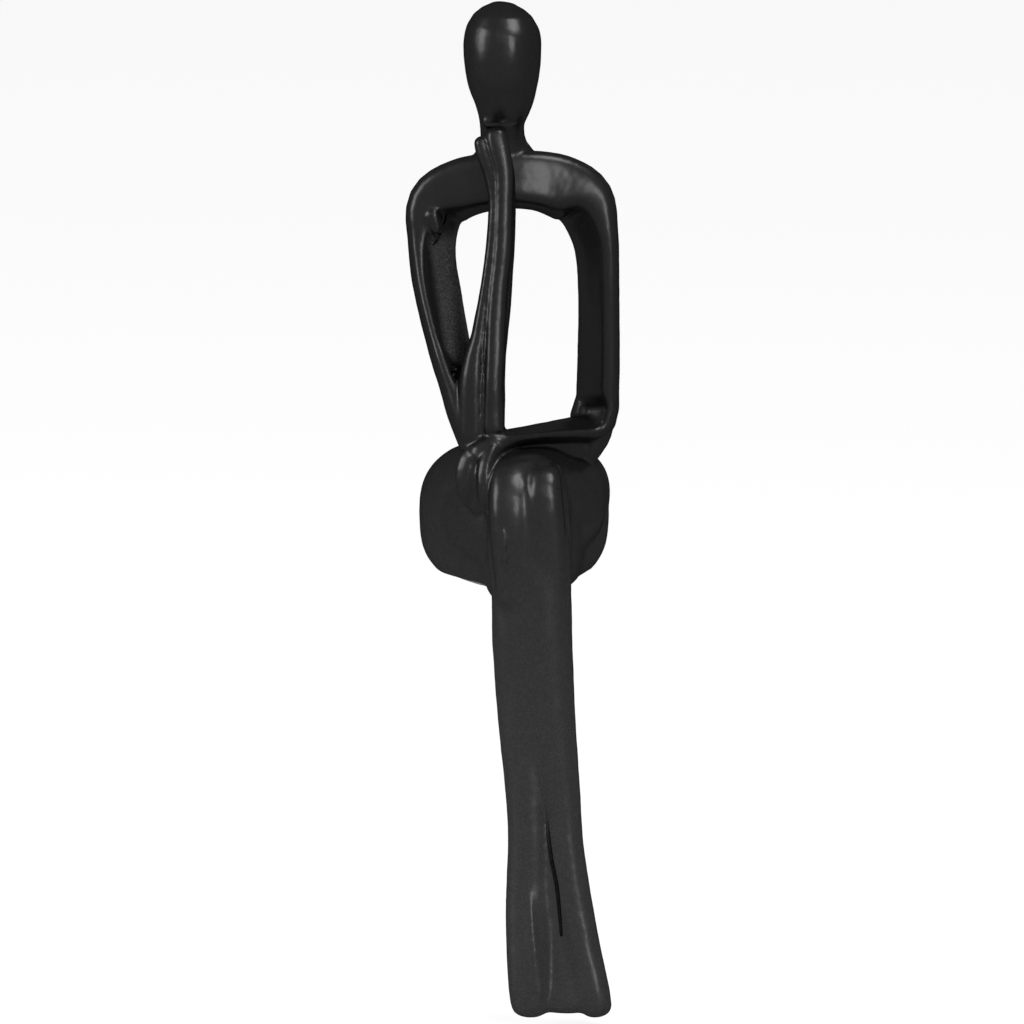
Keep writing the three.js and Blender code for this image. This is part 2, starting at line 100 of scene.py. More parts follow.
def copy_of(piece, name):
    made = piece.copy()
    made.data = piece.data.copy()
    made.name = made.data.name = name
    bpy.context.collection.objects.link(made)
    return made


def finish_with(piece, kind, **settings):
    """Adds a modifier and applies it."""
    activate(piece)
    modifier = piece.modifiers.new(kind, kind)
    modifier.show_viewport = False
    for key, value in settings.items():
        setattr(modifier, key, value)
    bpy.ops.object.modifier_apply(modifier=modifier.name)


def carve(piece, cutter, operation, keep_cutter=False):
    finish_with(piece, "BOOLEAN", object=cutter, operation=operation, solver="MANIFOLD")
    if not keep_cutter:
        bpy.data.objects.remove(cutter)


# Limbs


class Ring:
    """One cross ring of a limb: its place, its directions, its half sizes and its outline."""

    def __init__(self, middle, along, facing, sizes, squares):
        self.middle = middle
        self.along = along.normalized()
        self.deep = (facing - self.along * facing.dot(self.along)).normalized()
        self.across = self.deep.cross(self.along)
        self.half_width, self.half_depth, self.draw, square = sizes
        self.squares = squares[0] + square, squares[1]

    def outline(self, across, deep, outer):
        """Where a point of a round ring goes. Corners fill out, and the front draws in outwards."""
        power = 2 / (ROUND_POWER + self.squares[0 if deep > 0 else 1])
        across = math.copysign(abs(across) ** power, across)
        deep = math.copysign(abs(deep) ** power, deep)
        share = min(max((deep + DRAW_START) / (1 + DRAW_START), 0), 1)
        drawn = self.draw * share * share * (3 - 2 * share)
        return outer + (across - outer) * (1 - drawn), deep

    def add(self, mesh):
        turn = Matrix((self.across, self.deep, self.along)).transposed()
        bpy.ops.mesh.primitive_circle_add(vertices=RING_SIDES, radius=MM, fill_type="NOTHING",
                                          location=self.middle * MM, rotation=turn.to_euler())
        outer = 1 if self.across.dot(self.middle - WINDOW_CENTRE) > 0 else -1
        edit = bmesh.from_edit_mesh(mesh)
        edit.verts.ensure_lookup_table()
        for vertex in edit.verts[-RING_SIDES:]:
            offset = vertex.co / MM - self.middle
            across, deep = self.outline(offset.dot(self.across), offset.dot(self.deep), outer)
            vertex.co = (self.middle + self.across * across * (self.half_width + SKIN)
                         + self.deep * deep * (self.half_depth + SKIN)) * MM


def between(before, start, end, after, share):
    """A point of a smooth curve through a row of stations."""
    return [0.5 * (2 * b + (c - a) * share + (2 * a - 5 * b + 4 * c - d) * share ** 2
                   + (3 * b - a - 3 * c + d) * share ** 3)
            for a, b, c, d in zip(before, start, end, after)]


def smooth_row(stations):
    """The stations with more of them in between, a ring's step apart."""
    rows = [list(station) + [0] * (7 - len(station)) for station in stations]
    ends = [rows[0]] + rows + [rows[-1]]
    made = []
    for before, start, end, after in zip(ends, ends[1:], ends[2:], ends[3:]):
        steps = max(1, round(math.dist(start[:3], end[:3]) / RING_STEP))
        made += [between(before, start, end, after, step / steps) for step in range(steps)]
    return made + [rows[-1]]


def limb(name, stations, facing=FRONT, domes=(None, None), squares=(0, 0)):
    """A closed limb of cross rings through stations of x, y, z, half width and half depth in mm, how far
    the front is drawn in towards the outer side, and how square the front is. The domes are the depths of
    its two rounded ends in mm, and the squares say how square its front and back are all along."""
    rows = smooth_row(stations)
    places = [Vector(row[:3]) for row in rows]
    rings = []
    for index, row in enumerate(rows):
        along = places[min(index + 1, len(rows) - 1)] - places[max(index - 1, 0)]
        rings.append(Ring(places[index], along, facing, row[3:], squares))
    start, end = rings[0], rings[-1]
    for ring, way, dome in ((start, -1, domes[0]), (end, 1, domes[1])):
        depth = DOME_DEPTH * min(ring.half_width, ring.half_depth) if dome is None else dome
        caps = []
        for share in DOME_SHARES if depth else ():
            scale = math.sqrt(1 - share ** 2)
            sizes = (ring.half_width * scale, ring.half_depth * scale, ring.draw, 0)
            caps.append(Ring(ring.middle + ring.along * way * share * depth, ring.along, ring.deep, sizes,
                             ring.squares))
        rings = caps[::-1] + rings if way < 0 else rings + caps

    piece = start_mesh(name)
    for ring in rings:
        ring.add(piece.data)
    bpy.ops.mesh.select_all(action="SELECT")
    bpy.ops.mesh.bridge_edge_loops()
    for index in (0, len(rings) - 1):
        close_ring(piece.data, index)
    bpy.ops.mesh.select_all(action="SELECT")
    bpy.ops.mesh.normals_make_consistent(inside=False)
    bpy.ops.object.mode_set(mode="OBJECT")
    return piece


def close_ring(mesh, index):
    """Fills one end ring of a limb."""
    edit = bmesh.from_edit_mesh(mesh)
    bpy.ops.mesh.select_all(action="DESELECT")
    edit.verts.ensure_lookup_table()
    for vertex in edit.verts[index * RING_SIDES:(index + 1) * RING_SIDES]:
        vertex.select_set(True)
    edit.select_flush_mode()
    bmesh.update_edit_mesh(mesh)
    bpy.ops.mesh.edge_face_add()


def waves(name, size):
    """A cloud pattern for a surface that was shaped by hand."""
    pattern = bpy.data.textures.new(name, "CLOUDS")
    pattern.noise_scale = size * MM
    pattern.noise_depth = 1
    return pattern


def roughen(piece, pattern, height):
    finish_with(piece, "DISPLACE", texture=pattern, strength=height, texture_coords="LOCAL")


def one_skin(name, limbs, voxel):
    """Runs limbs together into one closed skin."""
    piece = join(name, limbs)
    finish_with(piece, "REMESH", mode="VOXEL", voxel_size=voxel, adaptivity=0)
    return piece


def soften(name, limbs, voxel, rounds):
    """One skin whose creases are softened."""
    piece = one_skin(name, limbs, voxel)
    finish_with(piece, "SMOOTH", factor=0.5, iterations=rounds)
    return piece


def half_space(point, direction):
    """A large block that fills one side of a plane."""
    way = Vector(direction).normalized()
    turn = way.to_track_quat("Z", "Y").to_euler()
    deselect()
    bpy.ops.mesh.primitive_cube_add(size=REACH, rotation=turn,
                                    location=Vector(point) * MM + way * REACH / 2)
    bpy.ops.object.transform_apply(location=True, rotation=True, scale=True)
    return bpy.context.view_layer.objects.active


def keep_side(piece, point, direction):
    """Cuts a piece off at a plane and keeps the side that the direction points to."""
    carve(piece, half_space(point, direction), "INTERSECT")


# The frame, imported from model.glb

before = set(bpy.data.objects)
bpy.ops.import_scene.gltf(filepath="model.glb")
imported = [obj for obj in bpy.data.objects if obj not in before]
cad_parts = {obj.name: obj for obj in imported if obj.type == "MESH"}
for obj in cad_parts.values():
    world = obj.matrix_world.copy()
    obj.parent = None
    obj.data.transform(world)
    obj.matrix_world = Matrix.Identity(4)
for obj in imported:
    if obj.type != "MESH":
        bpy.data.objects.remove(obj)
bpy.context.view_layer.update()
deselect()

hand_waves = waves("hand_waves", size=11)
cast_ripples = waves("cast_ripples", size=2.2)

# Head, chest, arms and hand

HEAD = [
    (-3.2, -0.9, 118, 6.2, 6.2), (-3.2, -1.2, 123, 5.9, 6.1), (-3.35, -2, 127.3, 6.15, 7),
    (-3.05, -2.5, 130.7, 7.2, 8.4), (-2.85, -2.8, 134.1, 8.4, 9.6), (-2.95, -3, 137.5, 9.4, 10.6),
    (-3.1, -3.2, 140.9, 10.1, 11.8), (-3.15, -3.1, 144.2, 10.55, 12.4), (-3.2, -3, 147.6, 10.65, 12.6),
    (-3.2, -3, 151, 10.5, 12.2), (-3.2, -2.8, 154.4, 9.65, 11), (-3.1, -2.7, 157.4, 7.9, 8.8),
    (-3, -2.6, 159.2, 5.7, 6.2), (-2.9, -2.6, 160.2, 3.5, 3.8),
]
NECK = [
    (-2.8, 0, 109.6, 11.6, 6), (-2.7, 0, 115.6, 10.2, 6.2), (-2.8, -0.3, 118.6, 8, 6.2),
    (-3, -0.6, 121, 6.4, 6.1), (-3.1, -0.9, 123.5, 5.8, 6.1), (-3.2, -1.2, 127, 5.8, 6.4),
]
LEFT_ARM = [
    (-10.6, -23.2, 41, 4.6, 5), (-13, -20, 48.4, 5.2, 6, 0.25), (-14.9, -17, 55.5, 5.5, 6.6, 0.45),
    (-16.8, -14, 62.1, 5.75, 7, 0.55), (-18.25, -11, 67.5, 5.95, 7.2, 0.6),
    (-19.75, -8, 73.6, 6.2, 7.3, 0.6), (-21.05, -5.2, 79.8, 6.4, 7.3, 0.6),
    (-22.3, -2.6, 86.3, 6.4, 7.3, 0.55),
]
SHOULDERS = [
    (-22.7, -0.5, 94, 6.7, 7.3, 0.5, 0.5), (-21.3, 0.8, 103.2, 8.2, 7.3, 0.3, 1),
    (-14, 0.2, 108.4, 8, 7.3, 0.1, 1.6), (-3.2, -1.8, 110.8, 7.6, 7.2, 0.04, 2),
    (6, -0.9, 110.6, 7.9, 7.2, 0.02, 2.2), (13.2, 0.9, 108.5, 8.5, 7.3, 0.06, 1.8),
    (19.4, 2.2, 104, 8.45, 7.3, 0.32, 0.8),
]
RIGHT_ARM = [
    (22.3, 1.6, 95, 6.5, 7.3, 0.46, 0.6), (23.2, 1.2, 88, 5.85, 7.3, 0.48, 0.8),
    (23.45, 1, 80, 5.7, 7.2, 0.48, 0.8), (23.45, 1, 70.6, 5.7, 7.2, 0.48, 0.8),
    (23.4, 1, 58, 5.9, 7.1, 0.48, 0.8), (23.2, 0.8, 50.5, 5.9, 6.9, 0.48, 0.6),
]
LAP_FOREARM = [
    (23.8, 0.3, 46.4, 5.3, 6.4, 0.55), (23.4, -0.4, 43.2, 4.8, 6, 0.5), (20.9, -2, 41.6, 4.2, 5.6, 0.5),
    (17, -5.2, 41.6, 3.6, 5.2, 0.5), (10, -11.4, 41.9, 3, 4.6, 0.45), (4, -16.8, 42, 2.7, 4.4, 0.4),
    (-1.6, -22, 41.8, 2.9, 4.4, 0.3), (-5.6, -26.4, 40.8, 3.9, 4.2, 0.1), (-8.6, -28, 37.8, 4.6, 4),
]
ELBOW_STUB = [(23, 0.4, 40.8, 4.4, 5), (22, 0.8, 38.6, 4.6, 5), (19.2, 1.6, 34, 4.4, 4.8)]
ELBOW_FILLET = [
    (21.6, 4.4, 56, 2.6, 2.4), (20.6, 4.2, 51, 2.8, 3), (19.8, 3.8, 47.4, 3, 3.4),
    (18.8, 2.6, 43.8, 3.2, 4),
]
LAP_WALL = [
    (20, 1.4, 37, 4, 5), (14, -4, 36.4, 3.6, 4.8), (7, -10.6, 36.2, 3.6, 4.6), (-2, -20, 36, 3.6, 4.4),
]
RIGHT_LOBE = [
    (-5.9, -25.6, 45.4, 3, 3.8), (-6, -24.8, 57, 2.6, 3.8), (-5.6, -23.6, 64.7, 2.7, 3.8),
    (-5.4, -22.5, 70.8, 2.7, 3.7), (-4.9, -20.6, 81.2, 2.6, 3.6), (-3.6, -18.5, 94.1, 2.5, 3.6),
    (-3.2, -17.2, 102.6, 2.5, 3.6), (-3.1, -16.2, 108.6, 2.5, 3.6), (-3.1, -15.1, 115.5, 2.7, 3.6),
    (-4.3, -14, 121.5, 3, 3.6), (-5.2, -13.2, 125.2, 2.8, 3.2),
]
LEFT_LOBE = [
    (-11.4, -24.2, 43.5, 4, 4.2), (-11.3, -23.2, 57, 3.8, 4.2), (-10.4, -21.9, 64.7, 3.1, 4.2),
    (-9.1, -20.7, 70.8, 2.4, 4.2), (-7.6, -19, 81.2, 1.8, 4.1), (-5.7, -16.9, 94.1, 1.8, 4),
    (-5, -15.7, 102.6, 1.8, 4), (-4.9, -14.7, 108.6, 1.9, 4), (-6.1, -13.7, 115.5, 2.2, 3.8),
    (-8, -13, 120.6, 2.4, 3.6), (-8.9, -12.6, 123.4, 2, 3.2),
]
FOREARM_CORE = [
    (-6.6, -22.6, 45, 4, 3.4), (-6, -20.8, 62.2, 3.6, 3.4), (-4.2, -17.6, 81.2, 3.5, 3.4),
    (-2.8, -14.6, 102.6, 3.1, 3.4), (-3.2, -12.8, 115.5, 3, 3.2), (-6, -11.6, 123.4, 3.4, 3),
]
FINGERTIPS = [(-7.2, -7.2, 128.4, 1.8, 2.2), (-5.6, -7.8, 129.2, 1.8, 2.2)]
THUMB = [(-2.9, -8.2, 130, 0.8, 1.7), (-3.2, -9.2, 127.8, 1, 1.9)]
CORNER_PATCH = [(-22.6, -5, 101.8, 2.4, 2.8), (-21.3, -5.2, 97.8, 1.9, 2.6)]
WALL_LIP = [(-21.9, -3, 91.8, 0.8, 1), (-20.9, -3.2, 86.8, 0.8, 1), (-18.9, -4.4, 82, 0.7, 1)]
FINGERS = [
    [(-9.4, -26.4, 39.2, 2.6, 3), (-12.2, -27.4, 36.2, 2.7, 3.2), (-13, -27.8, 32, 2.6, 3.4),
     (-12.6, -27.2, 27.6, 2.3, 3), (-11.4, -26.4, 24.6, 1.8, 2.2)],
    [(-5.8, -29.2, 39.2, 2.2, 3), (-7.2, -31.6, 35.6, 2.1, 3.2), (-7.6, -32.8, 31, 2.1, 3.4),
     (-7.2, -32.2, 26.4, 2, 3), (-6.6, -31.4, 23.6, 1.6, 2.2)],
    [(-8.2, -27.4, 37.2, 3.4, 3.4), (-9.9, -28.2, 33, 3.4, 3.2), (-9.6, -28, 28, 3, 3),
     (-8.6, -27.8, 23.4, 2.8, 2.6)],
]

# Hips and legs

OVER_KNEE = Vector((0, -1, 1))
HIPS = [
    (0.2, 21.9, 15.9, 18.4, 14.6), (0, 15, 16.2, 24.4, 18.6), (0, 6, 16.5, 26.3, 20.4),
    (0.6, -3, 16.4, 24.8, 20.8), (2, -12, 16.3, 19.8, 21.6), (3.5, -20, 16.4, 15.5, 22),
    (4, -31, 16.7, 11.8, 22),
]
LEFT_THIGH = [
    (-10, 8, 18, 13, 15), (-10, -6, 18, 11.6, 14), (-5.8, -20, 17, 9.4, 12), (-0.6, -31, 16, 6.2, 10),
]
RIGHT_THIGH = [
    (14.4, 8, 21.5, 12.4, 13), (13, -6, 21, 11, 13), (9.6, -22, 24, 8.6, 11), (5, -31, 26, 8, 10),
]
HIP_RIDGE = [
    (20.6, 8, 20, 5.6, 7.4), (18.8, -4, 16.6, 5.6, 6.8), (15.4, -15, 14.6, 5, 6), (11, -26, 13.6, 4, 5.4),
]
KNEE = [(4, -20, 26.8, 9.6, 10.8), (4, -28, 25.6, 9.6, 10.6), (4, -33.4, 23, 8.6, 8.8)]
KNEE_LOBES = [
    [(-1.2, -20, 34, 5, 5.2), (-1.4, -28.1, 33.2, 5.2, 5.4), (-1.6, -31.8, 31.4, 5.4, 5.6),
     (-1.6, -34.9, 28.4, 5.4, 5.6), (-1.4, -37, 24.1, 5.4, 5.4), (-1, -37.8, 17, 5.4, 5),
     (0.6, -37.6, 0, 5.2, 4.2)],
    [(8, -22, 32, 4.4, 5), (8, -29, 32.4, 4.6, 5), (8.2, -33.4, 31.8, 4.6, 5.2),
     (8.4, -36.2, 29.6, 4.6, 5.2), (8.6, -37.2, 25.6, 4.8, 5), (9.2, -37.6, 16, 5, 4.8),
     (9.6, -37.8, 0, 5, 4.2)],
    [(3.5, -28.1, 32.8, 2.6, 4.6), (3.4, -33.4, 30, 2.6, 4.6), (3.5, -36.2, 26.4, 2.6, 4.4),
     (3.8, -37.4, 20, 2.6, 4.4), (4.4, -37.6, 8, 2.6, 4.4)],
]
OVER_SHIN = [
    (4.9, -35.6, 18, 10, 5), (5.1, -36.4, 10, 10.5, 5.8), (6.95, -37.4, -6, 9.1, 5.8),
    (9.05, -38.4, -28, 7.6, 5.6), (13.1, -40, -57, 5.35, 5), (14.5, -41.6, -71, 4.95, 4.8),
    (16.9, -43.6, -85.5, 4.85, 4.6), (19.4, -45.8, -98, 4.7, 4.4), (22.1, -48.2, -109, 4.4, 4.2),
    (22.9, -49.6, -113.4, 4.2, 3.2),
]
UNDER_SHIN = [
    (1.4, -30.8, 16, 7.2, 5), (1, -33, 4, 7.1, 6), (0.9, -34.8, -8, 7, 6.4), (1.95, -36, -28, 6.95, 6),
    (3.4, -38.2, -50, 6.15, 5.5), (4.05, -40.4, -66, 5.7, 5.2), (4.05, -43, -84, 6.25, 4.8),
    (4.3, -45.8, -98, 6.3, 4.6), (4.5, -48.2, -109, 5.9, 4.2), (4.3, -49.6, -113.4, 4.9, 3.2),
]
FOOT_RIDGE = [(4, -44.6, -82, 1.6, 3.4), (5.2, -47.4, -96, 2, 3.8), (6.6, -49.4, -110, 2.4, 3.2)]
WEB = [
    (8.4, -41.8, -64, 2.4, 2), (9.6, -43.6, -79, 4, 2.2), (11, -45.2, -93, 6.4, 2.2),
    (13.2, -48, -108, 9.4, 2.4), (13.4, -49, -112, 9.6, 2.4),
]
SEAM_RIDGE = [
    (11.8, -31, 35.6, 0.9, 1.2), (13.4, -33, 27, 0.9, 1.3), (14.6, -34, 19, 0.9, 1.3),
    (15, -34.6, 6, 0.8, 1),
]
FOLDS = [
    [(-5.6, -37.4, 26, 0.8, 1.6), (-4.8, -39.8, 19, 0.8, 1.8), (-3.8, -40.6, 12, 0.7, 1.4)],
    [(-4, -39.8, 25, 0.7, 1.8), (-3, -41.6, 18, 0.7, 1.8), (-2.4, -41.8, 11, 0.6, 1.6)],
]

# The flaws of the casting

WALL_CRACKS = [
    [(-18.8, -4, 101.6, 0.5, 1.6), (-20.7, -4.6, 96.3, 0.5, 1.8), (-22.3, -5, 93.6, 0.5, 1.6)],
    [(-23, -5.4, 98.8, 0.4, 1.4), (-21.6, -5, 95.6, 0.5, 1.6)],
]
ELBOW_PIT = [
    [(-16.4, -20.4, 62.6, 1.3, 1), (-15.2, -19.4, 61.4, 1.6, 1.1), (-14.2, -18.6, 60.2, 1.2, 0.9)],
    [(-17.4, -21.6, 60.8, 0.7, 0.6), (-16.6, -21, 59.4, 0.6, 0.6)],
]
LEG_GROOVE = [
    (8.2, -44.3, -55, 0.3, 0.5), (9.3, -44.7, -64, 0.4, 1), (10.3, -45.1, -72, 0.45, 1.3),
    (11.8, -46.1, -79.6, 0.45, 1.3), (12.6, -46.8, -87, 0.4, 1.2), (13.1, -47.3, -93.4, 0.3, 0.8),
]

lower = soften("lower", [
    limb("hips", HIPS, facing=UP, domes=(5, None), squares=(0.4, 0.75)),
    limb("left_thigh", LEFT_THIGH, facing=UP),
    limb("right_thigh", RIGHT_THIGH, facing=UP),
    limb("hip_ridge", HIP_RIDGE, facing=UP),
    limb("knee", KNEE, facing=UP, domes=(None, 3)),
    limb("over_shin", OVER_SHIN),
    limb("under_shin", UNDER_SHIN),
    limb("foot_ridge", FOOT_RIDGE),
    limb("web", WEB, domes=(None, 3.2)),
] + [limb("knee_lobe", stations, facing=OVER_KNEE, squares=(0.6, 0)) for stations in KNEE_LOBES],
    HIP_VOXEL, HIP_ROUNDS)

figure = soften("figure", [
    lower,
    limb("head_form", HEAD, domes=(0, 0.7)),
    limb("neck_form", NECK, domes=(0, 0)),
    limb("band_form", LEFT_ARM + SHOULDERS + RIGHT_ARM + LAP_FOREARM, facing=UP_FRONT, squares=(0, 1.2)),
    limb("elbow_stub", ELBOW_STUB),
    limb("elbow_fillet", ELBOW_FILLET),
    limb("lap_wall", LAP_WALL, facing=UP),
    limb("right_lobe", RIGHT_LOBE, facing=RIGHT_FRONT, squares=(0.7, 0)),
    limb("left_lobe", LEFT_LOBE, facing=LEFT_FRONT),
    limb("forearm_core", FOREARM_CORE),
    limb("fingertips", FINGERTIPS),
    limb("thumb", THUMB),
    limb("corner_patch", CORNER_PATCH),
    limb("wall_lip", WALL_LIP),
    limb("seam_ridge", SEAM_RIDGE),
] + [limb("finger", stations, facing=OVER_THIGH, squares=(0.9, 0)) for stations in FINGERS]
  + [limb("fold", stations) for stations in FOLDS], FINE_VOXEL, FIGURE_ROUNDS)
roughen(figure, hand_waves, HAND_WAVES)
roughen(figure, cast_ripples, CAST_RIPPLES)
for stations in WALL_CRACKS + ELBOW_PIT:
    flaw = one_skin("flaw", [limb("flaw", stations)], FLAW_VOXEL)
    roughen(flaw, cast_ripples, TORN_EDGES)
    carve(figure, flaw, "DIFFERENCE")
carve(figure, one_skin("groove", [limb("groove", LEG_GROOVE)], GROOVE_VOXEL), "DIFFERENCE")

# The castings are parted at their glue lines

CHEST_FACE = (0, -8.9, 128)  # a point of the slanting face that the raised forearm is glued to
CHEST_OUTWARD = (0, -60, 8.1)
FIST_TOP = 128.4
FOREARM_FOOT = 47
ELBOW_INNER = -1.5
ELBOW_FOOT = 43
ELBOW_BLOCK = [(-12, -20, 46, 5.6, 12), (-12, -20, 36.5, 5.6, 12)]
LAP_ELBOW_BLOCK = [(23, 1, 56, 9, 10), (22.6, 1, 39, 8.4, 10)]
KNEE_BLOCK = [(4.2, -20, 30, 12, 14), (4.2, -38, 30, 12, 14)]
CUT_OVERLAP = 0.05  # mm between two cuts at one joint, so that no sliver stays


def grown(stations, margin):
    """The stations of a limb that is larger by a margin all round."""
    return [(x, y, z, width + margin, depth + margin) for x, y, z, width, depth, *_ in stations]


def part(body, name, region):
    """Cuts off what a body has in a region as a casting of its own."""
    casting = copy_of(body, name)
    carve(casting, region, "INTERSECT", keep_cutter=True)
    carve(body, region, "DIFFERENCE")
    return casting


def whole(piece):
    """Drops the slivers that parting leaves beside a casting."""
    name = piece.name
    activate(piece)
    bpy.ops.mesh.separate(type="LOOSE")
    loose = sorted(bpy.context.selected_objects, key=lambda one: len(one.data.vertices))
    for sliver in loose[:-1]:
        bpy.data.objects.remove(sliver)
    loose[-1].name = loose[-1].data.name = name
    return loose[-1]


lap_region = one_skin("block", [
    limb("forearm_block", grown(LAP_FOREARM, margin=1.2)),
    limb("wall_block", grown(LAP_WALL, margin=0.6), facing=UP),
    limb("stub_block", grown(ELBOW_STUB, margin=2.4)),
    limb("arm_block", LAP_ELBOW_BLOCK),
] + [limb("finger_block", grown(stations, margin=0.6), facing=OVER_KNEE) for stations in FINGERS],
    BLOCK_VOXEL)
keep_side(lap_region, (0, 0, LAP_JOINT), -UP)

thinking_region = half_space(CHEST_FACE, CHEST_OUTWARD)
keep_side(thinking_region, (0, 0, FIST_TOP), -UP)
keep_side(thinking_region, (0, 0, FOREARM_FOOT), UP)
elbow_region = half_space(ARM_JOINT, -ARM_DIRECTION)
keep_side(elbow_region, (ELBOW_INNER, 0, 0), (-1, 0, 0))
keep_side(elbow_region, (0, 0, ELBOW_FOOT), UP)
carve(elbow_region, limb("foot_block", ELBOW_BLOCK, domes=(0, 0)), "UNION")
carve(thinking_region, elbow_region, "UNION")

over_region = one_skin("block", [
    limb("over_core", grown(OVER_SHIN, margin=2.6), squares=(2, 0)),
    limb("over_knee", KNEE_BLOCK, facing=UP),
], BLOCK_VOXEL)

lap = part(figure, "lap_forearm_casting", lap_region)
thinking = part(figure, "thinking_forearm_casting", thinking_region)
head = part(figure, "head_casting", half_space((0, 0, NECK_JOINT), UP))
shoulders = part(figure, "shoulder_frame_casting", half_space((0, 0, LAP_JOINT - CUT_OVERLAP), UP))
under = part(figure, "under_leg_casting", half_space((0, SEAT_FRONT, 0), FRONT))
over = part(under, "over_leg_casting", over_region)
figure.name = figure.data.name = "seat_casting"
keep_side(figure, (0, 0, SEAT_BOTTOM), UP)

castings = {  # by the CAD node that each replaces
    "head": head, "shoulder_frame": shoulders, "thinking_forearm": thinking, "lap_forearm": lap,
    "seat_block": figure, "over_leg": over, "under_leg": under,
}


# Finishes


class Value:
    """A number on its way through a finish. Sums on it add Math nodes."""

    def __init__(self, finish, socket):
        self.finish = finish
        self.socket = socket

    def maths(self, operation, first, second):
        return self.finish.node("ShaderNodeMath", {"operation": operation}, {0: first, 1: second})

    def __add__(self, other):
        return self.maths("ADD", self, other)

    def __radd__(self, other):
        return self.maths("ADD", other, self)

    def __sub__(self, other):
        return self.maths("SUBTRACT", self, other)

    def __rsub__(self, other):
        return self.maths("SUBTRACT", other, self)

    def __mul__(self, other):
        return self.maths("MULTIPLY", self, other)

    def __rmul__(self, other):
        return self.maths("MULTIPLY", other, self)

    def __pow__(self, other):
        return self.maths("POWER", self, other)


class Finish:
    """A material, or the world, and the nodes that make it."""

    def __init__(self, owner):
        self.owner = owner
        owner.use_nodes = True
        self.tree = owner.node_tree
        self.tree.nodes.clear()

    def node(self, kind, settings=None, inputs=None, output=0):
        made = self.tree.nodes.new(kind)
        for key, value in (settings or {}).items():
            setattr(made, key, value)
        for key, value in (inputs or {}).items():
            if isinstance(value, Value):
                self.tree.links.new(value.socket, made.inputs[key])
            else:
                made.inputs[key].default_value = value
        return Value(self, made.outputs[output]) if made.outputs else None

    def place(self):
        return self.node("ShaderNodeTexCoord", output="Object")

    def axes(self):
        """The place as three values: x, y and z."""
        apart = self.node("ShaderNodeSeparateXYZ", {}, {0: self.place()})
        return [Value(self, socket) for socket in apart.socket.node.outputs]

    def noise(self, scale, detail=2, roughness=0.5):
        return self.node("ShaderNodeTexNoise", {}, {
            "Vector": self.place(), "Scale": scale, "Detail": detail, "Roughness": roughness})

    def cells(self, scale):
        return self.node("ShaderNodeTexVoronoi", {}, {"Vector": self.place(), "Scale": scale}, "Distance")

    def step(self, value, low, high):
        """A soft step from 0 at low to 1 at high."""
        return self.node("ShaderNodeMapRange", {"interpolation_type": "SMOOTHSTEP"}, {
            "Value": value, "From Min": low, "From Max": high})

    def mix(self, share, first, second):
        return self.node("ShaderNodeMix", {"data_type": "RGBA"}, {0: share, 6: first, 7: second}, 2)

    def bump(self, height, distance, strength=1, normal=None):
        inputs = {"Height": height, "Distance": distance, "Strength": strength}
        if normal:
            inputs["Normal"] = normal
        return self.node("ShaderNodeBump", {}, inputs)

    def background_rays(self):
        """1 for the rays that see the white background: camera, glossy and transmission."""
        camera, glossy, through = (self.node("ShaderNodeLightPath", output=ray) for ray in (
            "Is Camera Ray", "Is Glossy Ray", "Is Transmission Ray"))
        return through.maths("MAXIMUM", camera.maths("MAXIMUM", camera, glossy), through)

    def show(self, shader, output="ShaderNodeOutputMaterial"):
        """Puts a shader on the surface."""
        self.node(output, {}, {"Surface": shader})
        return self.owner

    def close(self, **inputs):
        """Puts a Principled shader with these inputs on the surface."""
        return self.show(self.node("ShaderNodeBsdfPrincipled", {}, {
            key.replace("_", " "): value for key, value in inputs.items()}))


def grey(level):
    return (level, level, level, 1)


# Metres between which each zone of the paint fades in
WALL_SIDE = (-0.0012, 0.0012)
WALL_FOOT = (0.060, 0.064)
WALL_TOP = (0.098, 0.092)
WALL_INNER = (-0.009, -0.0115)
WALL_FRONT = (-0.0195, -0.017)
LEGS = (0.045, -0.06)
WALL_X = -0.0215  # where the rough wall's outer edge is, at the height WALL_Z
WALL_Z = 0.083
WALL_LEAN = 0.16

# Greys between the grains and on them. The legs' lighter greys are painted light; the rough wall's lighter
# greys are partly its own unpolished grain and partly painted light.
BLACK = (grey(0.002), grey(0.005))
PAINTED_LIGHT_LEG_GREYS = (grey(0.009), grey(0.018))
ROUGH_WALL_PAINTED_LIGHT_GREYS = (grey(0.016), grey(0.045))

GLOSS = 0.34
GLOSS_FALL = 1.7  # how fast it goes towards the rims


